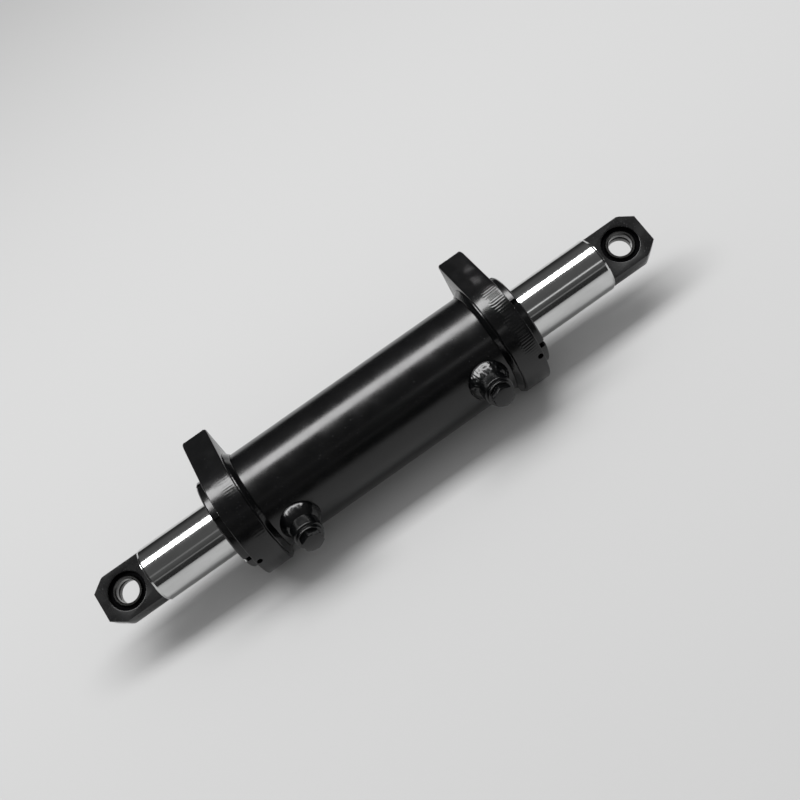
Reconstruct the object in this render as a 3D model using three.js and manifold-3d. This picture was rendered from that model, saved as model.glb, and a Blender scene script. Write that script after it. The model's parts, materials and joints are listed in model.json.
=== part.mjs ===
// Double-rod hydraulic steering cylinder: a barrel between two welded bracket plates, a screwed-in
// gland at each end, and one through rod with a flattened bearing eye at each tip.
// Millimetres, +Z up. The barrel axis lies along X, and the cylinder rests on its bracket plates.

import * as THREE from "three";
import { mergeVertices } from "three/addons/utils/BufferGeometryUtils.js";
import Module from "manifold-3d";

const wasm = await Module();
wasm.setup();

// ---- Driving dimensions -------------------------------------------------------------------------

const GAP = 0.3; // clearance left between neighbouring faceted pieces
const SIDES = [["left", -1], ["right", 1]];
const FINE = 36; // facets round the barrel, glands and rod
const COARSE = 24; // facets round the piston and the hidden rings
const SMALL = 24; // facets round bearings, bosses and plugs

// Barrel: honed tube 92 x 80
const BORE_R = 40;
const TUBE_R = 46;
const TUBE_HALF = 144;
const THREAD_R = 41.2; // enlarged, threaded mouth that takes the gland
const THREAD_FROM = 118;
const BARREL_X = -4.5; // the rod stands this far off the middle of its stroke

// Bracket plates: flame-cut, round below and square behind
const PLATE_T = 24;
const PLATE_R = 54;
const PLATE_FACE = 56.5; // from the axis to the mounting face behind
const PLATE_CORNER = 2.5;
const FOOT_FRONT = 20; // the underside flat runs this far in front of the axis
const PLATE_WELD = 6;
const BOLT_R = 5.1; // M12 core hole
const BOLT_DEPTH = 20;
const BOLT_Z = 38;
const LOCK_HOLE_R = 2.5;
const LOCK_X = 140.5;
const LOCK_TURN = { left: -4, right: 3 }; // degrees from -Y towards +Z

// Ports: bosses on the front of the barrel, closed by hexagon plugs
const PORT_X = 95;
const PORT_TURN = { left: 0, right: 7 }; // degrees from -Y towards +Z
const PORT_DRILL_R = 5;
const BOSS_R = 12.75;
const BOSS_TOP = 65.5; // measured from the barrel axis
const BOSS_THREAD_R = 9.2;
const BOSS_THREAD_DEPTH = 12;
const WELD_R = 18;
const WELD_TOP = 54.5; // measured from the barrel axis
const SEAL_T = 1;
const COLLAR_R = 11.5;
const COLLAR_T = 2.5;
const HEX_FLATS = 17;
const HEX_H = 5.5;
const HEX_CHAMFER = 0.9;

// Glands
const GLAND_INNER = 104;
const GLAND_OUTER = 152;
const FLANGE_R = 42.6;
const SPANNER_SLOTS = 6;
const SLOT_W = 5;
const SLOT_DEPTH = 4.5;
const SLOT_TURN = { left: 38, right: 28 }; // degrees from +Z towards -Y

// Rod, piston and rod eyes
const ROD_R = 25;
const SHOULDER_X = 229;
const SHOULDER_CHAMFER = 2;
const PISTON_HALF = 17;
const EYE_ROOT_R = 23.9;
const EYE_X = 252;
const EYE_T = 19;
const EYE_TIP = 276.8;
const TIP_HALF = 13.4;
const TIP_CHAMFER = 14.5;
const EYE_TURN = 30; // degrees: the eye faces lean from +Z towards -Y

// Spherical plain bearing, 20 mm pin
const PIN_R = 10;
const BALL_R = 14.5;
const INNER_HALF = 8;
const OUTER_HALF = 6;
const HOUSING_R = 17.5;
const LIP_R = 16.3; // opening in the lip that the bearing is pushed up against
const SEAT_CHAMFER = 0.65;
const CLIP_T = 1.4;
const CLIP_GROOVE_R = 18.5;
const CLIP_INNER_R = 15.7;

// Where the axis lies: the part's origin is at the bottom centre of its bounding box
const rad = THREE.MathUtils.degToRad;
const SEAL_FOOT = BOSS_TOP + 0.2;
const COLLAR_FOOT = SEAL_FOOT + SEAL_T + 0.2;
const PLUG_TOP = COLLAR_FOOT + COLLAR_T + HEX_H;
const HEX_CORNER = HEX_FLATS / Math.sqrt(3);
const FRONT_REACH = PLUG_TOP * Math.cos(rad(PORT_TURN.right))
  + (HEX_CORNER - HEX_CHAMFER) * Math.sin(rad(PORT_TURN.right));
const AXIS_Z = PLATE_R;
const AXIS_Y = (FRONT_REACH - PLATE_FACE) / 2;

// ---- Materials ----------------------------------------------------------------------------------

const finish = (color, roughness, metalness) =>
  new THREE.MeshStandardMaterial({ color, roughness, metalness });
const PAINT = finish(0x101112, 0.35, 0.2);
const CHROME = finish(0xc9ccd0, 0.08, 1);
const STEEL = finish(0x8d9094, 0.35, 1);
const BLACK_STEEL = finish(0x1b1c1e, 0.45, 0.8);
const BRONZE = finish(0x9a7440, 0.4, 1);
const RUBBER = finish(0x141414, 0.7, 0);
const URETHANE = finish(0x35577e, 0.5, 0);
const COPPER = finish(0xb06a48, 0.4, 1);

// ---- Solids -------------------------------------------------------------------------------------

// Keeps positions only, merges shared corners and drops triangles that collapsed on the axis.
function clean(geometry) {
  geometry.deleteAttribute("normal");
  geometry.deleteAttribute("uv");
  const merged = mergeVertices(geometry, 1e-4);
  const index = merged.index.array;
  const kept = [];
  for (let i = 0; i < index.length; i += 3) {
    const [a, b, c] = [index[i], index[i + 1], index[i + 2]];
    if (a !== b && b !== c && c !== a) kept.push(a, b, c);
  }
  merged.setIndex(kept);
  return merged;
}

function solid(geometry) {
  const merged = clean(geometry);
  return new wasm.Manifold(new wasm.Mesh({
    numProp: 3,
    vertProperties: new Float32Array(merged.attributes.position.array),
    triVerts: new Uint32Array(merged.index.array),
  }));
}

function geometryOf(manifold) {
  const mesh = manifold.getMesh();
  const geometry = new THREE.BufferGeometry();
  geometry.setAttribute("position", new THREE.BufferAttribute(mesh.vertProperties, 3));
  geometry.setIndex(new THREE.BufferAttribute(mesh.triVerts, 1));
  return geometry;
}

// Turns a profile of [along, radius] points about the Y axis; a ring's profile is closed here.
function lathe(points, facets) {
  const profile = points.map(([along, radius]) => new THREE.Vector2(radius, along));
  const onAxis = points[0][1] === 0;
  if (!onAxis) profile.push(profile[0].clone());
  return new THREE.LatheGeometry(profile, facets);
}

// The same, about the X axis. side -1 mirrors the profile to the left end.
function turned(points, facets = FINE, side = 1) {
  const placed = points.map(([along, radius]) => [along * side, radius]);
  if (side < 0) placed.reverse();
  return lathe(placed, facets).rotateZ(-Math.PI / 2);
}

// A plain ring about X from x0 to x1, inner radius r0, outer radius r1.
const ring = (x0, x1, r0, r1, side = 1, facets = COARSE) =>
  turned([[x0, r0], [x0, r1], [x1, r1], [x1, r0]], facets, side);

// A solid round bar about X.
const bar = (x0, x1, r, facets = FINE) =>
  turned([[x0, 0], [x0, r], [x1, r], [x1, 0]], facets);

// A profile of [distance from the barrel axis, radius] points, turned about a line towards -Y.
const boss = (points, facets, x) => lathe(points, facets).rotateX(Math.PI).translate(x, 0, 0);

// A drill along that line, swung round the barrel axis from -Y towards +Z by turn degrees.
const drill = (x, r, from, to, turn) =>
  boss([[from, 0], [from, r], [to, r], [to, 0]], 12, x).rotateX(-rad(turn));

// ---- Barrel and bracket plates ------------------------------------------------------------------

function barrelTube() {
  let tube = solid(turned([
    [-TUBE_HALF, THREAD_R], [-TUBE_HALF, TUBE_R], [TUBE_HALF, TUBE_R], [TUBE_HALF, THREAD_R],
    [THREAD_FROM, THREAD_R], [THREAD_FROM, BORE_R], [-THREAD_FROM, BORE_R], [-THREAD_FROM, THREAD_R],
  ]));
  for (const [name, side] of SIDES) {
    const port = drill(side * PORT_X, PORT_DRILL_R, BORE_R - 4, TUBE_R + 4, PORT_TURN[name]);
    const lock = drill(side * LOCK_X, LOCK_HOLE_R, THREAD_R - 4, TUBE_R + 4, LOCK_TURN[name]);
    tube = tube.subtract(solid(port)).subtract(solid(lock));
  }
  return geometryOf(tube);
}

// The plate's outline in Y and Z: round in front and on top, square at the mounting face behind,
// with an underside flat that ends where the tangent from its front corner meets the round.
function plateOutline() {
  const tangentTurn = 2 * Math.atan(FOOT_FRONT / PLATE_R);
  const shape = new THREE.Shape();
  shape.moveTo(-FOOT_FRONT, -PLATE_R);
  shape.lineTo(PLATE_FACE - PLATE_CORNER, -PLATE_R);
  shape.lineTo(PLATE_FACE, -PLATE_R + PLATE_CORNER);
  shape.lineTo(PLATE_FACE, PLATE_R - PLATE_CORNER);
  shape.lineTo(PLATE_FACE - PLATE_CORNER, PLATE_R);
  shape.absarc(0, 0, PLATE_R, Math.PI / 2, 1.5 * Math.PI - tangentTurn, false);
  const hole = new THREE.Path();
  hole.absarc(0, 0, TUBE_R + GAP, 0, 2 * Math.PI, false);
  shape.holes.push(hole);
  return shape;
}

function bracket(name, side) {
  const plate = new THREE.ExtrudeGeometry(plateOutline(), {
    depth: PLATE_T, bevelEnabled: false, curveSegments: FINE / 2,
  });
  const yzAlongX = new THREE.Matrix4().makeBasis(
    new THREE.Vector3(0, 1, 0), new THREE.Vector3(0, 0, 1), new THREE.Vector3(1, 0, 0));
  const middle = side * (TUBE_HALF - PLATE_T / 2);
  let cut = solid(plate.applyMatrix4(yzAlongX).translate(middle - PLATE_T / 2, 0, 0));
  for (const z of [-BOLT_Z, BOLT_Z]) {
    const foot = PLATE_FACE - BOLT_DEPTH;
    const bolt = lathe([[foot, 0], [foot, BOLT_R], [PLATE_FACE + 1, BOLT_R], [PLATE_FACE + 1, 0]], 16);
    cut = cut.subtract(solid(bolt.translate(middle, 0, z)));
  }
  const lock = drill(side * LOCK_X, LOCK_HOLE_R, TUBE_R - 2, PLATE_R + 2, LOCK_TURN[name]);
  return geometryOf(cut.subtract(solid(lock)));
}

// Fillet weld in the corner between the plate's inner face and the tube.
function bracketWeld(side) {
  const face = TUBE_HALF - PLATE_T - GAP;
  const root = TUBE_R + GAP;
  return turned([[face - PLATE_WELD, root], [face, root + PLATE_WELD], [face, root]], FINE, side);
}

// ---- Ports --------------------------------------------------------------------------------------

const saddleCut = (x) => solid(bar(x - 2 * BOSS_R, x + 2 * BOSS_R, TUBE_R + GAP));

function portBoss(side) {
  const x = side * PORT_X;
  const blank = boss([
    [BORE_R, PORT_DRILL_R], [BORE_R, BOSS_R], [BOSS_TOP, BOSS_R], [BOSS_TOP, BOSS_THREAD_R],
    [BOSS_TOP - BOSS_THREAD_DEPTH, BOSS_THREAD_R], [BOSS_TOP - BOSS_THREAD_DEPTH, PORT_DRILL_R],
  ], SMALL, x);
  return geometryOf(solid(blank).subtract(saddleCut(x)));
}

function portWeld(side) {
  const x = side * PORT_X;
  const blank = boss([
    [BORE_R, BOSS_R + GAP], [BORE_R, WELD_R], [TUBE_R + 0.8, WELD_R], [WELD_TOP, BOSS_R + GAP],
  ], SMALL, x);
  return geometryOf(solid(blank).subtract(saddleCut(x)));
}

const plugSeal = (side) => boss([
  [SEAL_FOOT, BOSS_THREAD_R], [SEAL_FOOT, COLLAR_R],
  [SEAL_FOOT + SEAL_T, COLLAR_R], [SEAL_FOOT + SEAL_T, BOSS_THREAD_R],
], SMALL, side * PORT_X);

function portPlug(side) {
  const x = side * PORT_X;
  const shank = BOSS_THREAD_R - 0.4;
  const foot = BOSS_TOP - BOSS_THREAD_DEPTH + 2;
  const collarTop = COLLAR_FOOT + COLLAR_T;
  const turnedPart = boss([
    [foot, 0], [foot, shank - 1], [foot + 1, shank], [COLLAR_FOOT, shank],
    [COLLAR_FOOT, COLLAR_R], [collarTop, COLLAR_R], [collarTop, 0],
  ], SMALL, x);
  const hexagon = boss([
    [collarTop - 1, 0], [collarTop - 1, HEX_CORNER], [PLUG_TOP - 0.8, HEX_CORNER],
    [PLUG_TOP, HEX_CORNER - HEX_CHAMFER], [PLUG_TOP, 0],
  ], 6, x);
  return geometryOf(solid(turnedPart).add(solid(hexagon)));
}

// ---- Glands -------------------------------------------------------------------------------------

const SPIGOT_R = BORE_R - GAP;
const GLAND_BORE = ROD_R + 0.4;
const ORING_GROOVE = { from: 108, to: 114.6, r: 36.2 };
const BUSH_GROOVE = { from: 108.6, to: 119, r: 27.8 };
const SEAL_GROOVE = { from: 123, to: 131.4, r: 32 };
const WIPER_GROOVE = { from: 145.4, to: GLAND_OUTER, r: 30.6 };

function gland(name, side) {
  const flangeFoot = TUBE_HALF + GAP;
  const groove = ({ from, to, r }) => [[to, GLAND_BORE], [to, r], [from, r], [from, GLAND_BORE]];
  let body = solid(turned([
    [GLAND_INNER, GLAND_BORE], [GLAND_INNER, SPIGOT_R - 1], [GLAND_INNER + 1, SPIGOT_R],
    [ORING_GROOVE.from, SPIGOT_R], [ORING_GROOVE.from, ORING_GROOVE.r],
    [ORING_GROOVE.to, ORING_GROOVE.r], [ORING_GROOVE.to, SPIGOT_R],
    [THREAD_FROM + 0.4, SPIGOT_R], [THREAD_FROM + 0.4, THREAD_R - GAP],
    [flangeFoot, THREAD_R - GAP], [flangeFoot, FLANGE_R],
    [GLAND_OUTER - 1.5, FLANGE_R], [GLAND_OUTER, FLANGE_R - 1.5],
    ...groove(WIPER_GROOVE).slice(1), ...groove(SEAL_GROOVE), ...groove(BUSH_GROOVE),
  ], FINE, side));
  for (let i = 0; i < SPANNER_SLOTS; i++) {
    const turn = rad(SLOT_TURN[name] + (i * 360) / SPANNER_SLOTS);
    const slot = new THREE.BoxGeometry(GLAND_OUTER - flangeFoot + 2, SLOT_W, 2 * SLOT_DEPTH)
      .translate(side * (GLAND_OUTER + flangeFoot) / 2, 0, FLANGE_R)
      .rotateX(turn);
    body = body.subtract(solid(slot));
  }
  return geometryOf(body);
}

// The O-ring and its backup ring share one groove.
const ORING_END = ORING_GROOVE.from + 3.8;
const GROOVED_RING_R = ORING_GROOVE.r + 0.6;
const glandOring = (side) =>
  ring(ORING_GROOVE.from + 0.4, ORING_END, GROOVED_RING_R, SPIGOT_R - 0.1, side);
const glandBackupRing = (side) =>
  ring(ORING_END + 0.4, ORING_GROOVE.to - GAP, GROOVED_RING_R, SPIGOT_R - 0.1, side);
const rodBush = (side) => ring(BUSH_GROOVE.from + GAP, BUSH_GROOVE.to - GAP, ROD_R + 0.5, 27.5, side);
const rodSeal = (side) => ring(SEAL_GROOVE.from + GAP, SEAL_GROOVE.to - GAP, ROD_R + 0.5, 31.6, side);

// The wiper's lip stands a little proud of the gland's outer face.
const rodWiper = (side) => turned([
  [WIPER_GROOVE.from + GAP, ROD_R + 1.5], [WIPER_GROOVE.from + GAP, 30.2],
  [GLAND_OUTER - 0.5, 30.2], [GLAND_OUTER + 0.8, ROD_R + 1.6], [GLAND_OUTER + 0.8, ROD_R + 0.5],
], COARSE, side);

// Set screw with a hexagon socket that locks the gland's thread.
const glandLockScrew = (side) => boss([
  [THREAD_R + 0.2, 0], [THREAD_R + 0.2, 0.9], [THREAD_R + 1.5, LOCK_HOLE_R - GAP],
  [49, LOCK_HOLE_R - GAP], [49, 1.25], [46.5, 1.25], [46.5, 0],
], 12, side * LOCK_X);

// ---- Piston -------------------------------------------------------------------------------------

const PISTON_R = BORE_R - 0.4;
const PISTON_BORE = ROD_R + 0.5;
const CLIP_GROOVE = { from: PISTON_HALF + 0.2, to: PISTON_HALF + 2.9, r: 23.3 };

function piston() {
  const wear = { from: 8.2, to: 14.8, r: 37 };
  const seal = { to: 5.2, r: 34.4 };
  const oring = { to: 2.6, r: 28.6 };
  const half = [
    [seal.to, seal.r], [seal.to, PISTON_R], [wear.from, PISTON_R], [wear.from, wear.r],
    [wear.to, wear.r], [wear.to, PISTON_R], [PISTON_HALF - 1, PISTON_R], [PISTON_HALF, PISTON_R - 1],
    [PISTON_HALF, PISTON_BORE], [oring.to, PISTON_BORE], [oring.to, oring.r],
  ];
  const mirrored = half.map(([x, r]) => [-x, r]).reverse();
  return turned([...mirrored, ...half], COARSE);
}

const pistonSeal = () => ring(-4.9, 4.9, 35, PISTON_R);
const pistonBoreOring = () => ring(-2.3, 2.3, ROD_R + 0.5, 28.2);
const pistonWearRing = (side) => ring(8.5, 14.5, 37.5, PISTON_R + 0.1, side);
const pistonRetainingRing = (side) => ring(CLIP_GROOVE.from + 0.2, CLIP_GROOVE.to - 0.3, 23.9, 28, side);

// ---- Rod ----------------------------------------------------------------------------------------
// Drawn with the eye faces level; the rod's group turns it by EYE_TURN.

const aboutZ = (points, facets) => lathe(points, facets).rotateX(Math.PI / 2);

function rodBar() {
  const half = [
    [CLIP_GROOVE.from, ROD_R], [CLIP_GROOVE.from, CLIP_GROOVE.r], [CLIP_GROOVE.to, CLIP_GROOVE.r],
    [CLIP_GROOVE.to, ROD_R], [SHOULDER_X - SHOULDER_CHAMFER, ROD_R], [SHOULDER_X, EYE_ROOT_R],
    [SHOULDER_X, 0],
  ];
  const mirrored = half.map(([x, r]) => [-x, r]).reverse();
  return solid(turned([...mirrored, ...half]));
}

// The eye's plan: parallel sides and a flat tip with two long corner chamfers.
function eyePlan() {
  const slope = (EYE_ROOT_R - TIP_HALF) / TIP_CHAMFER;
  const wide = EYE_ROOT_R + 2;
  const chamferFoot = EYE_TIP - (wide - TIP_HALF) / slope;
  const shape = new THREE.Shape();
  shape.moveTo(SHOULDER_X - 1, -wide);
  shape.lineTo(chamferFoot, -wide);
  shape.lineTo(EYE_TIP, -TIP_HALF);
  shape.lineTo(EYE_TIP, TIP_HALF);
  shape.lineTo(chamferFoot, wide);
  shape.lineTo(SHOULDER_X - 1, wide);
  return shape;
}

// The bearing seat, bored from below up to a lip, with a circlip groove and a chamfer at each face.
function bearingSeat() {
  const face = EYE_T / 2;
  const lipFoot = OUTER_HALF + 0.2;
  const grooveTop = -OUTER_HALF - 0.1;
  const grooveFoot = grooveTop - 0.2 - CLIP_T;
  return solid(aboutZ([
    [-face - 0.1, 0], [-face - 0.1, HOUSING_R + SEAT_CHAMFER + 0.1], [SEAT_CHAMFER - face, HOUSING_R],
    [grooveFoot, HOUSING_R], [grooveFoot, CLIP_GROOVE_R],
    [grooveTop, CLIP_GROOVE_R], [grooveTop, HOUSING_R],
    [lipFoot, HOUSING_R], [lipFoot, LIP_R],
    [face - SEAT_CHAMFER, LIP_R], [face + 0.1, LIP_R + SEAT_CHAMFER + 0.1], [face + 0.1, 0],
  ], SMALL).translate(EYE_X, 0, 0));
}

function rodEye(side) {
  const round = solid(bar(SHOULDER_X - 1, EYE_TIP + 1, EYE_ROOT_R));
  const flat = new THREE.ExtrudeGeometry(eyePlan(), { depth: EYE_T, bevelEnabled: false });
  const eye = round.intersect(solid(flat.translate(0, 0, -EYE_T / 2))).subtract(bearingSeat());
  return side > 0 ? eye : eye.rotate([0, 0, 180]);
}

function pistonRod() {
  return geometryOf(SIDES.reduce((rod, [, side]) => rod.add(rodEye(side)), rodBar()));
}

// ---- Bearings -----------------------------------------------------------------------------------

const onSphere = (r, z) => Math.sqrt(r * r - z * z);

function bearingOuterRing() {
  const half = OUTER_HALF - 0.1;
  const race = [half, half / 2, 0, -half / 2, -half].map((z) => [z, onSphere(BALL_R + GAP, z)]);
  return aboutZ([[-half, HOUSING_R - GAP], [half, HOUSING_R - GAP], ...race], SMALL);
}

// The inner ring: a ball cut off flat at both faces, with an oil groove inside its bore.
function bearingInnerRing() {
  const steps = [-1, -0.66, -0.33, 0, 0.33, 0.66, 1].map((k) => k * INNER_HALF);
  const groove = { half: 1.3, r: PIN_R + 0.7 };
  return aboutZ([
    [-INNER_HALF, PIN_R + 0.6], ...steps.map((z) => [z, onSphere(BALL_R, z)]),
    [INNER_HALF, PIN_R + 0.6], [INNER_HALF - 0.6, PIN_R], [groove.half, PIN_R],
    [groove.half, groove.r], [-groove.half, groove.r], [-groove.half, PIN_R], [0.6 - INNER_HALF, PIN_R],
  ], SMALL);
}

// Internal circlip under the bearing: an open ring with two lugs, each with a plier hole.
function circlip() {
  const opening = rad(14); // half the gap's angle
  const shape = new THREE.Shape();
  shape.absarc(0, 0, CLIP_GROOVE_R - GAP, opening, 2 * Math.PI - opening, false);
  shape.absarc(0, 0, CLIP_INNER_R, 2 * Math.PI - opening, opening, true);
  let clip = solid(new THREE.ExtrudeGeometry(shape, {
    depth: CLIP_T, bevelEnabled: false, curveSegments: 12,
  }));
  for (const turn of [opening, -opening]) {
    const at = [CLIP_INNER_R * Math.cos(turn), CLIP_INNER_R * Math.sin(turn), 0];
    const lug = aboutZ([[0, 0], [0, 1.9], [CLIP_T, 1.9], [CLIP_T, 0]], 10).translate(...at);
    const hole = aboutZ([[-1, 0], [-1, 0.8], [CLIP_T + 1, 0.8], [CLIP_T + 1, 0]], 8).translate(...at);
    clip = clip.add(solid(lug)).subtract(solid(hole));
  }
  return geometryOf(clip).translate(0, 0, -OUTER_HALF - 0.2 - CLIP_T);
}

// ---- Assembly -----------------------------------------------------------------------------------

function add(group, name, geometry, material) {
  const mesh = new THREE.Mesh(geometry, material);
  mesh.name = name;
  group.add(mesh);
  return mesh;
}

const cylinder = new THREE.Group();
const barrel = new THREE.Group();
barrel.position.set(BARREL_X, AXIS_Y, AXIS_Z);
const rod = new THREE.Group();
rod.position.set(0, AXIS_Y, AXIS_Z);
const turnedRod = new THREE.Group();
turnedRod.rotation.x = rad(EYE_TURN);
rod.add(turnedRod);
cylinder.add(barrel, rod);

add(barrel, "barrel_tube", barrelTube(), PAINT);
add(rod, "piston", piston(), STEEL);
add(rod, "piston_seal", pistonSeal(), URETHANE);
add(rod, "piston_bore_oring", pistonBoreOring(), RUBBER);
add(turnedRod, "piston_rod", pistonRod(), CHROME);

for (const [name, side] of SIDES) {
  add(barrel, `${name}_bracket`, bracket(name, side), PAINT);
  add(barrel, `${name}_bracket_weld`, bracketWeld(side), PAINT);

  const port = new THREE.Group();
  port.rotation.x = -rad(PORT_TURN[name]);
  barrel.add(port);
  add(port, `${name}_port_boss`, portBoss(side), PAINT);
  add(port, `${name}_port_weld`, portWeld(side), PAINT);
  add(port, `${name}_port_seal`, plugSeal(side), COPPER);
  add(port, `${name}_port_plug`, portPlug(side), PAINT);

  add(barrel, `${name}_gland`, gland(name, side), PAINT);
  add(barrel, `${name}_gland_oring`, glandOring(side), RUBBER);
  add(barrel, `${name}_gland_backup_ring`, glandBackupRing(side), URETHANE);
  add(barrel, `${name}_rod_bush`, rodBush(side), BRONZE);
  add(barrel, `${name}_rod_seal`, rodSeal(side), URETHANE);
  add(barrel, `${name}_rod_wiper`, rodWiper(side), RUBBER);
  const lockScrew = add(barrel, `${name}_gland_lock_screw`, glandLockScrew(side), BLACK_STEEL);
  lockScrew.rotation.x = -rad(LOCK_TURN[name]);

  add(rod, `${name}_piston_wear_ring`, pistonWearRing(side), BRONZE);
  add(turnedRod, `${name}_piston_retaining_ring`, pistonRetainingRing(side), STEEL);

  const eye = new THREE.Group();
  eye.position.x = side * EYE_X;
  eye.rotation.z = side > 0 ? Math.PI : 0;
  turnedRod.add(eye);
  add(eye, `${name}_bearing_outer_ring`, bearingOuterRing(), STEEL);
  add(eye, `${name}_bearing_inner_ring`, bearingInnerRing(), STEEL);
  add(eye, `${name}_circlip`, circlip(), BLACK_STEEL);
}

export default cylinder;
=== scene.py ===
import json
from math import atan2, cos, pi, radians, sin, sqrt, tan

import bmesh
import bpy
from mathutils import Matrix, Vector, noise


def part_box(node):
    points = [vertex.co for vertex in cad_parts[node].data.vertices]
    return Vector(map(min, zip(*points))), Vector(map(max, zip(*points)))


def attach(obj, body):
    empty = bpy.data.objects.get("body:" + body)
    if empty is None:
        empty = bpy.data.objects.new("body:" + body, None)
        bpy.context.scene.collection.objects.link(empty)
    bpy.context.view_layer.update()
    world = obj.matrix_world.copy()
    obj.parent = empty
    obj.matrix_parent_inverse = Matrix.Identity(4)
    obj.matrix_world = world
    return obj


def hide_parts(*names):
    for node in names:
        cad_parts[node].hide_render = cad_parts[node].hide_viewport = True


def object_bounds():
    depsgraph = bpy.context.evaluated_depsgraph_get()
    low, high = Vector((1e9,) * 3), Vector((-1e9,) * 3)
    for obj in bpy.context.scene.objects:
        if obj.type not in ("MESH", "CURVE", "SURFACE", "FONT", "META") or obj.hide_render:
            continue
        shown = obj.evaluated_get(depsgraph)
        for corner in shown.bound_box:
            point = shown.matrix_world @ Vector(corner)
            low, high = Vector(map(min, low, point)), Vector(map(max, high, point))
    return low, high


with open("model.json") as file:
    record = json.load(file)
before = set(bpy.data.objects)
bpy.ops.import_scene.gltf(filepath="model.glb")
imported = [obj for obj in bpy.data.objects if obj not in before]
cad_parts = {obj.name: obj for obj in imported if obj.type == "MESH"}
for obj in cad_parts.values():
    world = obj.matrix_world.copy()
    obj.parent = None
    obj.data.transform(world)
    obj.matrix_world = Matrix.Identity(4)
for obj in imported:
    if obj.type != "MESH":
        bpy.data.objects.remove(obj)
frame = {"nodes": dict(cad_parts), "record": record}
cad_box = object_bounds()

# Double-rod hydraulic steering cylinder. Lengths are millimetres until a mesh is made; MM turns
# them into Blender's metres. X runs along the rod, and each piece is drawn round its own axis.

MM = 0.001
MERGE = 1e-4  # points closer than this become one
JOINT_GAP = 0.1  # left between two pieces that touch on the real object
SIDES = (("left", -1), ("right", 1))

# ---- Sizes --------------------------------------------------------------------------------------


def half_size(node, axis):
    """Half the node's extent along X, Y or Z (0, 1 or 2), in millimetres."""
    low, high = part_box(node)
    return (high[axis] - low[axis]) / 2 / MM


def middle(node):
    """The middle of the node's box, in metres."""
    low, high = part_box(node)
    return (low + high) / 2


TUBE_R = half_size("barrel_tube", 2)
TUBE_HALF = half_size("barrel_tube", 0)
BORE_R = 40.0
MOUTH_R = 41.2
MOUTH_FROM = 118.0
PLATE_R = half_size("left_bracket", 2)
PLATE_T = 2 * half_size("left_bracket", 0)
PLATE_FACE = (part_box("left_bracket")[1].y - middle("barrel_tube").y) / MM
PLATE_CORNER = 3.0
EDGE_ROUND = 1.1
EDGE_ROUND_BEHIND = 1.9  # added to it at the mounting face
EDGE_FADE = 7.0
FOOT_FRONT = 20.0
PLATE_WELD = 5.8
WELD_SINK = 0.3
BOLT_R = 5.1
BOLT_Z = 38.0
BOLT_DEPTH = 20.0
BOLT_FLARE = 2.0
DRILL_TIP = 3.0
LOCK_X = 140.5
LOCK_HOLE_R = 2.5
SCREW_POINT = 41.4
SCREW_FROM = 43.0
SCREW_TO = 49.0
SCREW_R = 2.1
SOCKET_FROM = 46.4
SOCKET_R = 1.3
LOCK_TURN = {"left": -4.0, "right": 3.0}  # degrees from -Y towards +Z

PORT_X = 95.0
PORT_TURN = {"left": 0.0, "right": 7.0}  # degrees from -Y towards +Z
PORT_DRILL_R = 5.0
BOSS_R = half_size("left_port_boss", 0)
BOSS_TOP = 65.5
BOSS_THREAD_R = 9.2
BOSS_THREAD_DEPTH = 12.0
PLUG_DEPTH = 10.0
WELD_R = half_size("left_port_weld", 0)
WELD_TOP = 54.5
WELD_LUMPS = {"left": 0.2, "right": 0.6}
SEAL_T = 1.0
COLLAR_R = half_size("left_port_plug", 0)
COLLAR_T = 2.5
HEX_FLATS = 17.0
HEX_H = 5.5
HEX_CONE = 0.97  # where the hexagon's chamfer starts, as a part of half its flats

GLAND_INNER = 104.0
GLAND_OUTER = 152.0
GLAND_BORE = 25.4
SPIGOT_R = 39.7
THREAD_R = 40.9
THREAD_FROM = 118.4
WIPER_R = 30.4
WIPER_FROM = 145.4
FLANGE_R = half_size("left_gland", 2)
SLOTS = 6
SLOT_W = 5.0
SLOT_DEPTH = 4.5
SLOT_TURN = {"left": 38.0, "right": 28.0}

ROD_R = 25.0
SHOULDER_X = 229.0
EYE_ROOT_R = 23.9
EYE_X = 252.0
EYE_T = 19.0
EYE_TIP = half_size("piston_rod", 0)
TIP_HALF = 13.4
TIP_CHAMFER = 14.5
SHOULDER_ROUND = 20.0  # where the tip chamfers run into the sides
EYE_TURN = 30.0
HOUSING_R = 17.5
LIP_R = 16.3
LIP_ROUND = 0.65
CLIP_T = 1.4
CLIP_GROOVE_R = 18.5
CLIP_INNER_R = 16.1
CLIP_GAP = 9.0  # degrees, to each side
LUG_DEPTH = 2.1
LUG_LENGTH = 3.8
LUG_SLOPE = 1.6
PIN_R = 10.0
BALL_R = 14.5
INNER_HALF = 8.0
OUTER_HALF = 5.9

# ---- Frames -------------------------------------------------------------------------------------
# A frame maps a piece's own millimetres to the row frame.

SCALE = Matrix.Scale(MM, 4)
AXIS = middle("barrel_tube")
ROD_AT = Vector((middle("piston_rod").x, AXIS.y, AXIS.z))
BARREL = Matrix.Translation(AXIS) @ SCALE
ROD = Matrix.Translation(ROD_AT) @ Matrix.Rotation(radians(EYE_TURN), 4, "X") @ SCALE


def radial_frame(x, turn):
    """Z points out of the barrel, turned from -Y towards +Z, and X stays along the barrel."""
    return BARREL @ Matrix.Translation((x, 0, 0)) @ Matrix.Rotation(radians(90 - turn), 4, "X")


def port_frame(name, side):
    return radial_frame(side * PORT_X, PORT_TURN[name])


def eye_frame(side):
    """Z is the pin's axis, and X points from the eye's centre to its tip."""
    return ROD @ Matrix.Translation((side * EYE_X, 0, 0)) @ Matrix.Rotation((side < 0) * pi, 4, "Z")


# ---- Mesh building ------------------------------------------------------------------------------


def steps(low, high, count):
    return [low + (high - low) * i / count for i in range(count + 1)]


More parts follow.
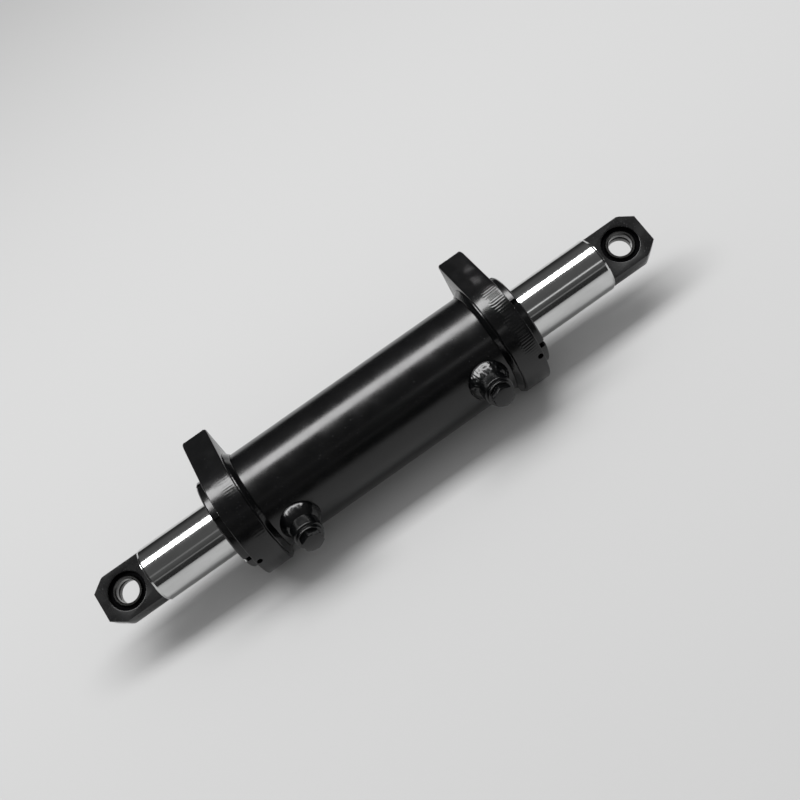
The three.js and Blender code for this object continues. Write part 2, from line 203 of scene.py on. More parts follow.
def rounded(points, radius, loop=True, count=3):
    """The outline with every corner off the axis replaced by a small round of the given size."""
    made = []
    last = len(points) - 1
    for i, point in enumerate(points):
        here = Vector(point)
        if not loop and i in (0, last):
            made.append(here)
            continue
        before, after = Vector(points[i - 1]), Vector(points[(i + 1) % len(points)])
        cut = min(radius, 0.45 * (before - here).length, 0.45 * (after - here).length)
        start = here + (before - here).normalized() * cut
        end = here + (after - here).normalized() * cut
        for t in steps(0, 1, count):
            made.append(start * (1 - t) ** 2 + here * 2 * t * (1 - t) + end * t**2)
    return made


def loft(sections, wrap=True, loop=True):
    """Skins a row of equal-length sections: wrap joins last to first, loop closes each one."""
    bm = bmesh.new()
    rows = [[bm.verts.new(point) for point in section] for section in sections]
    count = len(rows[0])
    for i in range(len(rows) if wrap else len(rows) - 1):
        row, after = rows[i], rows[(i + 1) % len(rows)]
        for j in range(count if loop else count - 1):
            k = (j + 1) % count
            bm.faces.new((row[j], row[k], after[k], after[j]))
    if not wrap:
        bm.faces.new(rows[0])
        bm.faces.new(rows[-1])
    return bm


def tidy(bm):
    bmesh.ops.remove_doubles(bm, verts=bm.verts, dist=MERGE)
    bmesh.ops.dissolve_degenerate(bm, edges=bm.edges, dist=MERGE)
    bmesh.ops.recalc_face_normals(bm, faces=bm.faces)


def turned(profile, around=160, about="X"):
    """A profile of (along, radius) turned about X or Z; one that ends on the axis stays open."""
    loop = profile[0][1] > 0
    sections = []
    for i in range(around):
        c, s = cos(2 * pi * i / around), sin(2 * pi * i / around)
        if about == "X":
            sections.append([(a, r * c, r * s) for a, r in profile])
        else:
            sections.append([(r * c, r * s, a) for a, r in profile])
    return loft(sections, loop=loop)


def mirrored(profile, side):
    return [(side * along, radius) for along, radius in profile]


def piece(name, bm, place, material, body, nodes=(), sharp=32):
    """Makes the object, in the row frame, hangs it on its body's empty and hides the nodes it stands
    for.
    """
    tidy(bm)
    mesh = bpy.data.meshes.new(name)
    bm.transform(place)
    bm.to_mesh(mesh)
    bm.free()
    mesh.shade_smooth()
    mesh.set_sharp_from_angle(angle=radians(sharp))
    made = bpy.data.objects.new(name, mesh)
    bpy.context.scene.collection.objects.link(made)
    mesh.materials.append(material)
    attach(made, body)
    if nodes:
        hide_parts(*nodes)
    return made


def scratch(bm):
    """A helper object for a boolean, drawn in millimetres; it is removed once it has cut."""
    tidy(bm)
    mesh = bpy.data.meshes.new("scratch")
    bm.to_mesh(mesh)
    bm.free()
    made = bpy.data.objects.new("scratch", mesh)
    bpy.context.scene.collection.objects.link(made)
    return made


def combined(bm, others, operation="DIFFERENCE"):
    """bm cut by, or joined with, other bmeshes."""
    body = scratch(bm)
    tools = [scratch(other) for other in others]
    for tool in tools:
        modifier = body.modifiers.new("cut", "BOOLEAN")
        modifier.operation = operation
        modifier.solver = "EXACT"
        modifier.object = tool
    bpy.context.view_layer.update()
    depsgraph = bpy.context.evaluated_depsgraph_get()
    mesh = bpy.data.meshes.new_from_object(body.evaluated_get(depsgraph))
    made = bmesh.new()
    made.from_mesh(mesh)
    for used in (body, *tools):
        bpy.data.objects.remove(used)
    return made


def soften(made, width, angle=35, segments=2):
    """Rounds a finished piece's edges, so that they catch the light."""
    bevel = made.modifiers.new("edges", "BEVEL")
    bevel.width = width * MM
    bevel.segments = segments
    bevel.limit_method = "ANGLE"
    bevel.angle_limit = radians(angle)
    bevel.harden_normals = True


# ---- Materials ----------------------------------------------------------------------------------


def shader(name, color, roughness, metallic=0.0):
    material = bpy.data.materials.new(name)
    material.use_nodes = True
    surface = material.node_tree.nodes["Principled BSDF"]
    surface.inputs["Base Color"].default_value = (*color, 1)
    surface.inputs["Roughness"].default_value = roughness
    surface.inputs["Metallic"].default_value = metallic
    return material


def add_node(material, kind, **inputs):
    node = material.node_tree.nodes.new(kind)
    for socket, value in inputs.items():
        node.inputs[socket.replace("_", " ")].default_value = value
    return node


def link(material, source, target):
    material.node_tree.links.new(source, target)


def pattern(material, scale, detail=3.0, stretch=(1, 1, 1), rough=0.5):
    """Noise in the object's own metres; stretch squeezes it along an axis."""
    place = add_node(material, "ShaderNodeTexCoord")
    mapping = add_node(material, "ShaderNodeMapping", Scale=stretch)
    texture = add_node(material, "ShaderNodeTexNoise", Scale=scale, Detail=detail, Roughness=rough)
    link(material, place.outputs["Object"], mapping.inputs["Vector"])
    link(material, mapping.outputs["Vector"], texture.inputs["Vector"])
    return texture.outputs["Fac"]


def ramp(material, source, *stops):
    """A colour ramp of (position, grey or colour) stops."""
    node = material.node_tree.nodes.new("ShaderNodeValToRGB")
    points = node.color_ramp.elements
    while len(points) < len(stops):
        points.new(0.5)
    for point, (position, value) in zip(points, stops):
        point.position = position
        point.color = (*value, 1) if isinstance(value, tuple) else (value, value, value, 1)
    link(material, source, node.inputs["Fac"])
    return node.outputs["Color"]


def drive(material, socket, source, *stops):
    surface = material.node_tree.nodes["Principled BSDF"]
    link(material, ramp(material, source, *stops), surface.inputs[socket])


def bumps(material, *layers):
    """Stacks bump layers of (height, strength, depth in millimetres)."""
    surface = material.node_tree.nodes["Principled BSDF"]
    normal = None
    for height, strength, depth in layers:
        node = add_node(material, "ShaderNodeBump", Strength=strength, Distance=depth * MM)
        link(material, height, node.inputs["Height"])
        if normal:
            link(material, normal, node.inputs["Normal"])
        normal = node.outputs["Normal"]
    link(material, normal, surface.inputs["Normal"])


def black_paint(name, gloss=0.22, peel=0.22, specks=0.70):
    """Sprayed black enamel with orange peel, glossier and duller spots and a few dust specks."""
    black, dusty = (0.001, 0.0011, 0.0013), (0.03, 0.03, 0.03)
    paint = shader(name, black, gloss)
    dust = pattern(paint, 900, detail=2)
    drive(paint, "Base Color", dust, (specks, black), (specks + 0.06, dusty))
    drive(paint, "Roughness", pattern(paint, 55, detail=4), (0.3, gloss - 0.04), (0.7, gloss + 0.05))
    bumps(paint, (pattern(paint, 480, detail=2), peel, 0.02), (dust, 0.15, 0.03))
    return paint


def plain_metal(name, color, roughness, grain=1500, stretch=(1, 1, 1)):
    """A bare or blackened metal, clouded, with a fine grain that can be drawn out into lines."""
    metal = shader(name, color, roughness, 1.0)
    dark = tuple(0.75 * c for c in color)
    lines = pattern(metal, grain, detail=3, stretch=stretch)
    drive(metal, "Base Color", pattern(metal, 60, detail=4), (0.35, dark), (0.65, color))
    drive(metal, "Roughness", lines, (0.3, roughness * 0.8), (0.7, roughness * 1.25))
    bumps(metal, (lines, 0.12, 0.02))
    return metal


def moulded(name, color, roughness):
    """Rubber or plastic with a slightly uneven skin."""
    plastic = shader(name, color, roughness)
    dark = tuple(0.7 * c for c in color)
    drive(plastic, "Base Color", pattern(plastic, 90, detail=4), (0.35, dark), (0.65, color))
    drive(plastic, "Roughness", pattern(plastic, 300), (0.3, roughness - 0.08), (0.7, roughness + 0.08))
    bumps(plastic, (pattern(plastic, 1200, detail=2), 0.2, 0.03))
    return plastic


def hard_chrome():
    """Ground and polished chrome: fine rings round the rod and a faint haze."""
    chrome = shader("hard_chrome", (0.63, 0.635, 0.63), 0.09, 1.0)
    rings = pattern(chrome, 60, detail=6, stretch=(60, 1, 1), rough=0.7)
    haze = pattern(chrome, 35, detail=5, stretch=(1, 3, 3))
    drive(chrome, "Base Color", haze, (0.3, (0.56, 0.565, 0.56)), (0.7, (0.66, 0.665, 0.66)))
    drive(chrome, "Roughness", rings, (0.35, 0.07), (0.65, 0.14))
    bumps(chrome, (rings, 0.04, 0.01))
    return chrome


PAINT = black_paint("black_paint")
ROUGH_PAINT = black_paint("flame_cut_paint", gloss=0.21, peel=0.4)
WELD_PAINT = black_paint("weld_paint", gloss=0.2, peel=0.3)
PLUG_PAINT = black_paint("plug_paint", gloss=0.24, peel=0.3)
EYE_PAINT = black_paint("eye_paint", gloss=0.27, peel=0.35, specks=0.66)
CHROME = hard_chrome()
# The ball's steel is drawn dark: painted shade, which stands for the shade in its bore and darkens the
# whole ball.
BALL_STEEL_PAINTED_SHADE = plain_metal("bearing_steel", (0.1, 0.1, 0.098), 0.24)
# The outer race is drawn near black, darker than the blackened steel: blackening and painted shade of
# the eye's recess.
RACE_BLACK_AND_PAINTED_SHADE = plain_metal("blackened_race_and_painted_shade", (0.006, 0.006, 0.0065), 0.3)
BLACKENED = plain_metal("blackened_steel", (0.03, 0.03, 0.032), 0.38)
STEEL = plain_metal("turned_steel", (0.5, 0.5, 0.5), 0.3, grain=60, stretch=(60, 1, 1))
BRONZE = plain_metal("bronze", (0.45, 0.3, 0.14), 0.35)
COPPER = plain_metal("copper", (0.5, 0.24, 0.15), 0.35)
RUBBER = moulded("black_rubber", (0.01, 0.01, 0.01), 0.6)
URETHANE = moulded("urethane", (0.03, 0.1, 0.22), 0.45)

# ---- Barrel -------------------------------------------------------------------------------------


def barrel_tube():
    profile = rounded([(-TUBE_HALF, MOUTH_R), (-TUBE_HALF, TUBE_R), (TUBE_HALF, TUBE_R),
                       (TUBE_HALF, MOUTH_R), (MOUTH_FROM, MOUTH_R), (MOUTH_FROM, BORE_R),
                       (-MOUTH_FROM, BORE_R), (-MOUTH_FROM, MOUTH_R)], 0.6)
    piece("barrel_shell", turned(profile, 256), BARREL, PAINT, "barrel",
          ["barrel_tube"])


def resampled(outline, pitch):
    """Points a pitch apart along a closed outline, each with its outward normal and its distance."""
    made = []
    total = 0.0
    for i, start in enumerate(outline):
        end = outline[(i + 1) % len(outline)]
        length = (end - start).length
        if length < 1e-6:
            continue
        along = (end - start) / length
        normal = Vector((along.y, -along.x))
        for k in range(max(1, round(length / pitch))):
            made.append((start + along * k * pitch, normal, total + k * pitch))
        total += length
    return made


def plate_outline():
    """The plate in Y and Z, anticlockwise: an underside flat, the square end and the round."""
    tangent_turn = 2 * atan2(FOOT_FRONT, PLATE_R)
    square = rounded([(-FOOT_FRONT, -PLATE_R), (PLATE_FACE, -PLATE_R), (PLATE_FACE, PLATE_R),
                      (0, PLATE_R)], PLATE_CORNER, loop=False, count=5)
    turns = steps(pi / 2, 1.5 * pi - tangent_turn, 260)
    return square + [Vector((PLATE_R * cos(t), PLATE_R * sin(t))) for t in turns[1:]]


def fade(value, start, end):
    """0 before start, 1 after end and straight between."""
    return max(0.0, min(1.0, (value - start) / (end - start)))


RIM_PITCH = 0.4
RIM_ROWS = 34
RIM_LOSS = 0.2  # taken off the rim, so that the torch's marks never stand proud of it
MOTTLE = 0.03
DRAG_PITCH = 2.5
DRAG_WANDER = 2.2
DRAG_HEIGHT = 0.12
FAINT_DRAG_HEIGHT = 0.03
BEAD_LINE = 0.42  # across the rim, from the inner face
BEAD_HALF = 0.045
BEAD_DEPTH = 0.2
RING_HEIGHT = 0.2
RINGS = 26


def flame_cut(distance, across, side):
    """Height of the torch's marks on the rim, at a distance along it and a fraction across it.

    The right plate has drag lines outside a line of beads, the left one rings near its inner face.
    """
    wander = DRAG_WANDER * noise.noise(Vector((distance / 11, across * 1.5, 4.0 * side)))
    drag = sin(2 * pi * distance / DRAG_PITCH + wander + 2.0 * across * across)
    patch = fade(noise.noise(Vector((distance / 13, across * 2, 9.0))), -0.35, 0.3)
    mottle = MOTTLE * noise.noise(Vector((distance / 4, across * 5, 2.0 * side)))
    if side > 0:
        reach = fade(across, BEAD_LINE, BEAD_LINE + 0.08) * (1 - fade(across, 0.88, 0.96))
        beads = 0.6 + 0.4 * sin(distance * 2.1)
        bead = max(0, 1 - abs(across - BEAD_LINE) / BEAD_HALF) * beads
        return mottle + DRAG_HEIGHT * drag * reach * (0.35 + 0.65 * patch) - BEAD_DEPTH * bead
    inner = 1 - fade(across, 0.4, 0.52)
    rings = noise.noise(Vector((distance / 60, across * RINGS, 3.0)))
    return mottle + FAINT_DRAG_HEIGHT * drag * inner * patch + RING_HEIGHT * rings * inner


def bracket_section(point, normal, distance, side):
    """One cut through the plate's rim; its edges are rounder towards the mounting face."""
    behind = fade(point.x, PLATE_FACE - EDGE_FADE, PLATE_FACE)
    edge = EDGE_ROUND + EDGE_ROUND_BEHIND * behind
    inner_face, outer_face = TUBE_HALF - PLATE_T, TUBE_HALF
    hole = point.normalized() * (TUBE_R + 0.05)
    turns = steps(0, pi / 2, 4)
    section = [(inner_face, hole), (inner_face, point - normal * edge)]
    for turn in turns:
        below = point - normal * edge * (1 - sin(turn))
        section.append((inner_face + edge * (1 - cos(turn)), below))
    for x in steps(inner_face + edge, outer_face - edge, RIM_ROWS)[1:-1]:
        across = (x - inner_face) / PLATE_T
        section.append((x, point + normal * (flame_cut(distance, across, side) - RIM_LOSS)))
    for turn in reversed(turns):
        below = point - normal * edge * (1 - sin(turn))
        section.append((outer_face - edge * (1 - cos(turn)), below))
    section += [(outer_face, point - normal * edge), (outer_face, hole)]
    return [(side * x, at.x, at.y) for x, at in section]


def bracket(name, side):
    """Lofted round the barrel, then drilled for two bolts behind and the gland's lock screw."""
    samples = resampled(plate_outline(), RIM_PITCH)
    sections = [bracket_section(*sample, side) for sample in samples]
    holes = []
    for z in (-BOLT_Z, BOLT_Z):
        foot = PLATE_FACE - BOLT_DEPTH
        bore = turned([(foot - DRILL_TIP, 0), (foot, BOLT_R), (PLATE_FACE - 1, BOLT_R),
                       (PLATE_FACE + 1, BOLT_R + BOLT_FLARE), (PLATE_FACE + 1, 0)], 40, "Z")
        bore.transform(Matrix.Translation((side * (TUBE_HALF - PLATE_T / 2), 0, z))
                       @ Matrix.Rotation(-pi / 2, 4, "X"))
        holes.append(bore)
    lock = turned([(TUBE_R - 6, 0), (TUBE_R - 6, LOCK_HOLE_R), (PLATE_R + 3, LOCK_HOLE_R),
                   (PLATE_R + 3, 0)], 32, "Z")
    lock.transform(Matrix.Translation((side * LOCK_X, 0, 0))
                   @ Matrix.Rotation(radians(90 - LOCK_TURN[name]), 4, "X"))
    piece(f"{name}_bracket_plate", combined(loft(sections), [*holes, lock]), BARREL, ROUGH_PAINT,
          "barrel", [f"{name}_bracket"])


def bracket_weld(name, side):
    """A nearly flat fillet bead, smooth but for the slow unevenness of a turned weld."""
    face = TUBE_HALF - PLATE_T
    around = 420
    sections = []
    for i in range(around):
        turn = 2 * pi * i / around
        ripple = 0.03 * sin(turn * 96)
        swell = 0.45 * noise.noise(Vector((cos(turn) * 5, sin(turn) * 5, side)))
        leg = PLATE_WELD - WELD_SINK + ripple + swell
        hollow = 0.49 * leg
        bead = rounded([(face + WELD_SINK, TUBE_R - WELD_SINK), (face - leg, TUBE_R - WELD_SINK),
                        (face - hollow, TUBE_R + hollow), (face + WELD_SINK, TUBE_R + leg)], 1.8)
        sections.append([(side * x, r * cos(turn), r * sin(turn)) for x, r in bead])
    piece(f"{name}_bracket_bead", loft(sections), BARREL, WELD_PAINT, "barrel",
          [f"{name}_bracket_weld"], sharp=60)


# ---- Ports --------------------------------------------------------------------------------------


def on_tube(radius, turn):
    """A point on the tube's outside, at a radius from the port's own axis."""
    across = radius * sin(turn)
    return Vector((radius * cos(turn), across, sqrt(TUBE_R**2 - across**2)))


def port_boss(name, side):
    step = BOSS_TOP - BOSS_THREAD_DEPTH
    profile = rounded([(BORE_R, PORT_DRILL_R), (BORE_R, BOSS_R), (BOSS_TOP - 1, BOSS_R),
                       (BOSS_TOP, BOSS_R - 1), (BOSS_TOP, BOSS_THREAD_R + 0.8),
                       (BOSS_TOP - 0.8, BOSS_THREAD_R), (step, BOSS_THREAD_R),
                       (step, PORT_DRILL_R)], 0.35)
    piece(f"{name}_boss", turned(profile, 96, "Z"), port_frame(name, side), PAINT, "barrel",
          [f"{name}_port_boss"])


def port_weld(name, side):
    """A hand-laid bead from the round of the tube up to the boss; the right one is the lumpier."""
    around = 240
    sections = []
    for i in range(around):
        turn = 2 * pi * i / around
        out = Vector((cos(turn), sin(turn), 0))
        slow = noise.noise(Vector((out.x * 1.6, out.y * 1.6, 5.0 * side)))
        foot = on_tube(WELD_R - 0.5 + 0.5 * slow, turn)
        top = out * (BOSS_R - 0.1)
        top.z = WELD_TOP + 0.6 * slow
        rise = top.z - foot.z
        bead = [Vector((0, 0, -1.2)) + foot * 0.97, foot]
        for t in steps(0, 1, 9)[1:-1]:
            grain = noise.noise(Vector((out.x * 8, out.y * 8, 4 * t + 7.0 * side)))
            lump = WELD_LUMPS[name] * grain
            reach = WELD_R - (WELD_R - BOSS_R) * t**1.5
            bulge = out * (reach + lump * sin(pi * t))
            bulge.z = foot.z + rise * t + 0.5 * lump
            bead.append(bulge)
        hidden = out * (BOSS_R - 0.6)
        hidden.z = foot.z - 1
        sections.append(bead + [top, hidden])
    piece(f"{name}_port_bead", loft(sections), port_frame(name, side), WELD_PAINT, "barrel",
          [f"{name}_port_weld"], sharp=70)


def hexagon(foot, top, flats, around=120):
    """A bolt-head hexagon whose corners are cut by a 30 degree cone."""
    cone_from = flats / 2 * HEX_CONE
    sections = []
    for i in range(around):
        turn = 2 * pi * i / around
        reach = flats / 2 / cos((turn + pi / 6) % (pi / 3) - pi / 6)
        shoulder = top - max(0, reach - cone_from) * tan(radians(30))
        rim = (cone_from * cos(turn), cone_from * sin(turn), top)
        sections.append([
            (0, 0, foot),
            (reach * cos(turn), reach * sin(turn), foot),
            (reach * cos(turn), reach * sin(turn), shoulder),
            rim,
            (0, 0, top),
        ])
    return loft(sections, loop=False)


def port_plug(name, side):
    """A hexagon plug with a collar, and the washer under it, which was painted over with them."""
    seal = BOSS_TOP + JOINT_GAP
    collar = seal + SEAL_T + JOINT_GAP
    top = collar + COLLAR_T
    washer = rounded([(seal, BOSS_THREAD_R), (seal, COLLAR_R), (seal + SEAL_T, COLLAR_R),
                      (seal + SEAL_T, BOSS_THREAD_R)], 0.3)
    piece(f"{name}_plug_washer", turned(washer, 96, "Z"), port_frame(name, side), WELD_PAINT,
          "barrel", [f"{name}_port_seal"])
    shank = BOSS_THREAD_R - 0.4
    foot = BOSS_TOP - PLUG_DEPTH
    rim = rounded([(foot, shank), (collar, shank), (collar, COLLAR_R), (top, COLLAR_R), (top, 6)],
                  0.8, loop=False, count=4)
    profile = [(foot, 0), *rim, (top, 0)]
    hex_end = top + HEX_H + 0.2
    plug = combined(turned([tuple(p) for p in profile], 96, "Z"),
                    [hexagon(top - 1, hex_end, HEX_FLATS)], "UNION")
    made = piece(f"{name}_plug", plug, port_frame(name, side), PLUG_PAINT, "barrel",
                 [f"{name}_port_plug"])
    soften(made, 0.25)


# ---- Glands -------------------------------------------------------------------------------------


def gland(name, side):
    """Lofted round the rod, so that the spanner slots can drop out of the flange's rim."""
    flange = TUBE_HALF + JOINT_GAP
    slot_half = SLOT_W / 2 / FLANGE_R
    turns = []
    pitch = 2 * pi / SLOTS
    first = radians(SLOT_TURN[name])
    for i in range(SLOTS):
        centre = first + i * pitch
        for k in steps(slot_half + 0.003, pitch - slot_half - 0.003, 30):
            turns.append((centre + k, False))
        for k in steps(pitch - slot_half, pitch + slot_half, 4):
            turns.append((centre + k, True))
    sections = []
    for turn, in_slot in turns:
        rim = FLANGE_R - SLOT_DEPTH if in_slot else FLANGE_R
        chamfer = 0.3 if in_slot else 1.4
        profile = [(GLAND_INNER, GLAND_BORE), (GLAND_INNER, SPIGOT_R), (THREAD_FROM, SPIGOT_R),
                   (THREAD_FROM, THREAD_R), (flange, min(THREAD_R, rim)), (flange, rim),
                   (GLAND_OUTER - chamfer, rim), (GLAND_OUTER, rim - chamfer),
                   (GLAND_OUTER, WIPER_R), (WIPER_FROM, WIPER_R), (WIPER_FROM, GLAND_BORE)]
        edge = rounded(profile, 0.4)
        sections.append([(side * x, -r * sin(turn), r * cos(turn)) for x, r in edge])
    piece(f"{name}_gland_nut", loft(sections), BARREL, PAINT, "barrel",
          [f"{name}_gland"])


def rod_wiper(name, side):
    lip = ROD_R + 0.1
    profile = rounded([(WIPER_FROM + 0.2, lip + 1.5), (WIPER_FROM + 0.2, WIPER_R - 0.1),
                       (GLAND_OUTER - 0.4, WIPER_R - 0.1), (GLAND_OUTER + 0.6, lip + 1.4),
                       (GLAND_OUTER + 0.6, lip), (GLAND_OUTER - 1, lip)], 0.3)
    piece(f"{name}_wiper", turned(mirrored(profile, side), 128), BARREL, RUBBER, "barrel",
          [f"{name}_rod_wiper"])


def lock_screw(name, side):
    profile = rounded([(SCREW_POINT, 0.1), (SCREW_FROM, SCREW_R), (SCREW_TO, SCREW_R),
                       (SCREW_TO, SOCKET_R), (SOCKET_FROM, SOCKET_R), (SOCKET_FROM, 0.1)], 0.2)
    place = radial_frame(side * LOCK_X, LOCK_TURN[name])
    piece(f"{name}_lock_screw", turned(profile, 32, "Z"), place, BLACKENED, "barrel",
          [f"{name}_gland_lock_screw"])


# ---- Rod and eyes -------------------------------------------------------------------------------


def chrome_rod():
    end = SHOULDER_X
    half = [(end, 0), (end, EYE_ROOT_R), (end - 0.3, EYE_ROOT_R), (end - 2, ROD_R),
            (end - 2.6, ROD_R)]
    profile = half + [(-x, r) for x, r in reversed(half)]
    piece("chrome_rod", turned(profile, 256), ROD, CHROME, "rod", ["piston_rod"],
          sharp=20)


def eye_cuts():
    """Planes, as a point and a normal, that trim the stub: two faces, then rounds and chamfers."""
    tip = EYE_TIP - EYE_X
    slope = atan2(EYE_ROOT_R - TIP_HALF, TIP_CHAMFER)
    centre = Vector((tip - TIP_CHAMFER - SHOULDER_ROUND * tan(slope / 2),
                     EYE_ROOT_R - SHOULDER_ROUND, 0))
    cuts = [((0, 0, EYE_T / 2), (0, 0, 1)), ((0, 0, -EYE_T / 2), (0, 0, -1))]
    for turn in steps(0, slope, 5)[1:]:
        normal = Vector((sin(turn), cos(turn), 0))
        at = centre + normal * SHOULDER_ROUND
        cuts += [(at, normal), ((at.x, -at.y, 0), (normal.x, -normal.y, 0))]
    return cuts


def rod_eye(name, side):
    """A round stub milled flat on both faces and cut off at the tip, with the bearing's seat."""
    root, tip = SHOULDER_X - EYE_X - 0.4, EYE_TIP - EYE_X
    stub = turned([(root, 0), (root, EYE_ROOT_R), (tip, EYE_ROOT_R), (tip, 0)], 160)
    tidy(stub)
    for at, normal in eye_cuts():
        found = bmesh.ops.bisect_plane(stub, geom=[*stub.verts, *stub.edges, *stub.faces],
                                       plane_co=at, plane_no=normal, clear_outer=True)
        rim = [e for e in found["geom_cut"] if isinstance(e, bmesh.types.BMEdge)]
        bmesh.ops.contextual_create(stub, geom=rim)
    face = EYE_T / 2
    groove_top = -OUTER_HALF - 0.1
    groove_foot = groove_top - CLIP_T - 0.2
    lip_foot = OUTER_HALF + 0.1
    lip = [(face - LIP_ROUND * (1 - sin(t)), LIP_R + LIP_ROUND * (1 - cos(t)))
           for t in steps(0, pi / 2, 5)]
    seat = turned([(-face - 0.3, 0), (-face - 0.3, HOUSING_R + 1.3), (1.0 - face, HOUSING_R),
                   (groove_foot, HOUSING_R), (groove_foot, CLIP_GROOVE_R),
                   (groove_top, CLIP_GROOVE_R), (groove_top, HOUSING_R), (lip_foot, HOUSING_R),
                   (lip_foot, LIP_R), *lip, (face + 0.3, LIP_R + LIP_ROUND), (face + 0.3, 0)],
                  128, "Z")
    made = piece(f"{name}_rod_eye", combined(stub, [seat]), eye_frame(side), EYE_PAINT, "rod",
                 ["piston_rod"])
    soften(made, 0.45, angle=40, segments=3)


def bearing(name, side):
    """Outer ring, and the ball with its bore and oil groove."""
    race = [(z, sqrt((BALL_R + 0.1) ** 2 - z * z)) for z in steps(OUTER_HALF, -OUTER_HALF, 12)]
    outer = [(-OUTER_HALF, HOUSING_R - 0.1), (OUTER_HALF, HOUSING_R - 0.1), *race]
    piece(f"{name}_outer_race", turned(outer, 128, "Z"), eye_frame(side), RACE_BLACK_AND_PAINTED_SHADE, "rod",
          [f"{name}_bearing_outer_ring"])
    ball = [(z, sqrt(BALL_R**2 - z * z)) for z in steps(-INNER_HALF, INNER_HALF, 20)]
    bore = rounded([(INNER_HALF, PIN_R + 0.9), (INNER_HALF - 0.9, PIN_R), (1.4, PIN_R),
                    (1.0, PIN_R + 0.8), (-1.0, PIN_R + 0.8), (-1.4, PIN_R),
                    (0.9 - INNER_HALF, PIN_R), (-INNER_HALF, PIN_R + 0.9)], 0.25, loop=False)
    piece(f"{name}_ball", turned([*ball, *bore], 128, "Z"), eye_frame(side), BALL_STEEL_PAINTED_SHADE,
          f"{name}_ball", [f"{name}_bearing_inner_ring"], sharp=25)


def circlip(name, side):
    """An open ring under the bearing that widens into two lugs beside its gap, towards the rod."""
    gap = radians(CLIP_GAP)
    top = -OUTER_HALF - 0.2
    foot = top - CLIP_T + 0.1
    sections = []
    for turn in steps(gap, 2 * pi - gap, 150):
        from_end = min(turn - gap, 2 * pi - gap - turn) * HOUSING_R
        lug = 1 - fade(from_end, LUG_LENGTH - LUG_SLOPE, LUG_LENGTH)
        bore, rim = CLIP_INNER_R - LUG_DEPTH * lug, CLIP_GROOVE_R - 0.15
        edge = rounded([(bore, foot), (rim, foot), (rim, top), (bore, top)], 0.25)
        sections.append([(-r * cos(turn), r * sin(turn), z) for r, z in edge])
    piece(f"{name}_snap_ring", loft(sections, wrap=False), eye_frame(side), BLACKENED, "rod",
          [f"{name}_circlip"])


# ---- Pieces inside, kept as they are ------------------------------------------------------------

INSIDE = {"bronze": BRONZE, "urethane": URETHANE, "black_rubber": RUBBER, "bearing_steel": STEEL,
          "blackened_steel": BLACKENED, "copper": COPPER, "chrome": CHROME, "black_paint": PAINT}


def finish_inside():
    for part in frame["record"]["subparts"]:
        node = frame["nodes"][part["node"]]
        node.data.materials.clear()
        node.data.materials.append(INSIDE[part["material_slot"]])


# ---- Stage, lights and camera -------------------------------------------------------------------

CAMERA_TURN = -3.59
CAMERA_UP = 43.09
CAMERA_ROLL = -32.63
CAMERA_DISTANCE = 933.0
CAMERA_AIM = Vector((28.3, 2.8, 0.0))  # from the middle of the barrel
CAMERA_LENS = 49.57


def stage():
    """A plain pale floor under the plates."""
    bm = bmesh.new()
    bmesh.ops.create_grid(bm, x_segments=1, y_segments=1, size=12)
    mesh = bpy.data.meshes.new("floor")
    bm.to_mesh(mesh)
    bm.free()
    ground = bpy.data.objects.new("floor", mesh)
    bpy.context.scene.collection.objects.link(ground)
    ground.location.z = cad_box[0].z
    mesh.materials.append(shader("floor_white", (0.28, 0.28, 0.28), 0.9))


def softbox(name, turn, distance, length, width, radiance, along=0.0):
    """An area light turned round the barrel from the front horizon and moved along it, in metres."""
    light = bpy.data.lights.new(name, "AREA")
    light.shape = "RECTANGLE"
    light.size = length
    light.size_y = width
    light.energy = radiance * pi * length * width
    lamp = bpy.data.objects.new(name, light)
    bpy.context.scene.collection.objects.link(lamp)
    out = Vector((0, -cos(radians(turn)), sin(radians(turn))))
    lamp.location = AXIS + out * distance + Vector((along, 0, 0))
    lamp.rotation_euler = (radians(90 - turn), 0, 0)
    lamp.visible_camera = False


def lights():
    softbox("overhead_strip", 104.0, 2.2, 3.8, 0.76, 12.0)
    softbox("front_band", 46.0, 2.0, 4.5, 0.20, 0.12)
    softbox("front_band_right", 45.0, 2.0, 1.4, 0.18, 0.62, along=0.95)
    softbox("low_line", 22.5, 2.0, 4.5, 0.12, 0.20)


SKY_TONES = ((0.0, 0.025), (0.25, 0.035), (0.6, 0.1), (1.0, 0.1))  # grey by height, horizon up
FILL = 1.0  # what the matt floor sees, so that its shadows stay soft


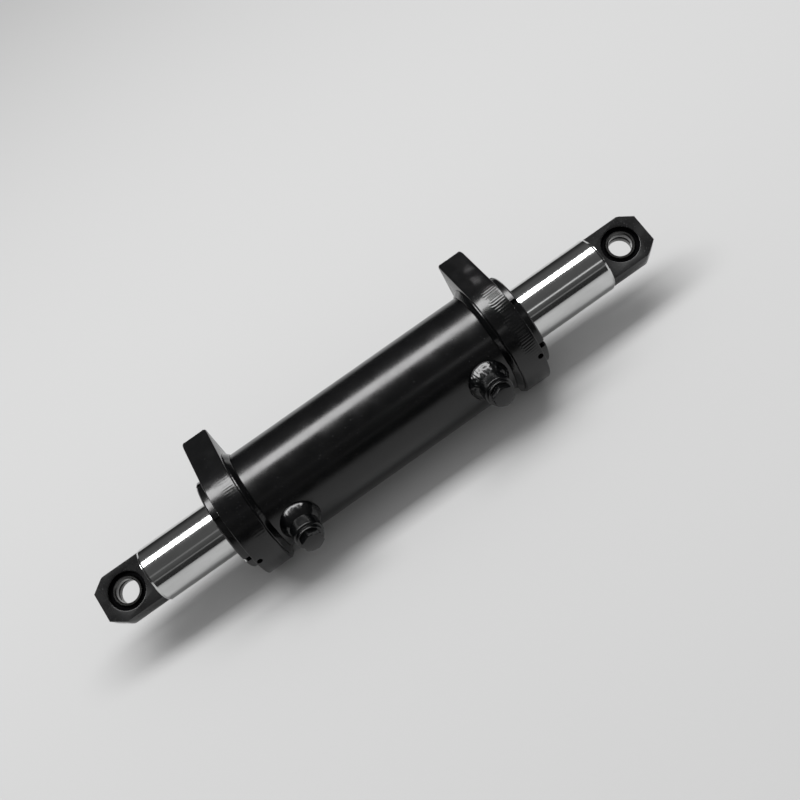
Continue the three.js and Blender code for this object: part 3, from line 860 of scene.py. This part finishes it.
def surroundings():
    """A dim studio, darkest at the horizon, behind a pale backdrop."""
    world = bpy.data.worlds.new("studio")
    bpy.context.scene.world = world
    world.use_nodes = True
    tree = world.node_tree
    sky = tree.nodes["Background"]
    place = tree.nodes.new("ShaderNodeTexCoord")
    split = tree.nodes.new("ShaderNodeSeparateXYZ")
    tone = tree.nodes.new("ShaderNodeValToRGB")
    backdrop = tree.nodes.new("ShaderNodeBackground")
    backdrop.inputs["Color"].default_value = (0.9, 0.9, 0.9, 1)
    seen = tree.nodes.new("ShaderNodeLightPath")
    mix = tree.nodes.new("ShaderNodeMixShader")
    for _ in SKY_TONES[2:]:
        tone.color_ramp.elements.new(0.5)
    for point, (position, grey) in zip(tone.color_ramp.elements, SKY_TONES):
        point.position = position
        point.color = (grey, grey, grey, 1)
    fill = tree.nodes.new("ShaderNodeBackground")
    fill.inputs["Color"].default_value = (FILL, FILL, FILL, 1)
    filled = tree.nodes.new("ShaderNodeMixShader")
    tree.links.new(place.outputs["Generated"], split.inputs["Vector"])
    tree.links.new(split.outputs["Z"], tone.inputs["Fac"])
    tree.links.new(tone.outputs["Color"], sky.inputs["Color"])
    tree.links.new(seen.outputs["Is Diffuse Ray"], filled.inputs["Fac"])
    tree.links.new(sky.outputs["Background"], filled.inputs[1])
    tree.links.new(fill.outputs["Background"], filled.inputs[2])
    tree.links.new(seen.outputs["Is Camera Ray"], mix.inputs["Fac"])
    tree.links.new(filled.outputs["Shader"], mix.inputs[1])
    tree.links.new(backdrop.outputs["Background"], mix.inputs[2])
    tree.links.new(mix.outputs["Shader"], tree.nodes["World Output"].inputs["Surface"])


def camera():
    lens = bpy.data.cameras.new("camera")
    lens.lens = CAMERA_LENS
    made = bpy.data.objects.new("camera", lens)
    bpy.context.scene.collection.objects.link(made)
    turn, up = radians(CAMERA_TURN), radians(CAMERA_UP)
    back = Vector((sin(turn) * cos(up), -cos(turn) * cos(up), sin(up)))
    aim = AXIS + CAMERA_AIM * MM
    look = (-back).to_track_quat("-Z", "Y").to_matrix().to_4x4()
    roll = Matrix.Rotation(radians(CAMERA_ROLL), 4, "Z")
    made.matrix_world = Matrix.Translation(aim + back * CAMERA_DISTANCE * MM) @ look @ roll
    bpy.context.scene.camera = made


# ---- Everything ---------------------------------------------------------------------------------

camera()
stage()
lights()
surroundings()
bpy.context.scene.view_settings.view_transform = "Standard"

finish_inside()
barrel_tube()
chrome_rod()
for end, direction in SIDES:
    bracket(end, direction)
    bracket_weld(end, direction)
    port_boss(end, direction)
    port_weld(end, direction)
    port_plug(end, direction)
    gland(end, direction)
    rod_wiper(end, direction)
    lock_screw(end, direction)
    rod_eye(end, direction)
    bearing(end, direction)
    circlip(end, direction)
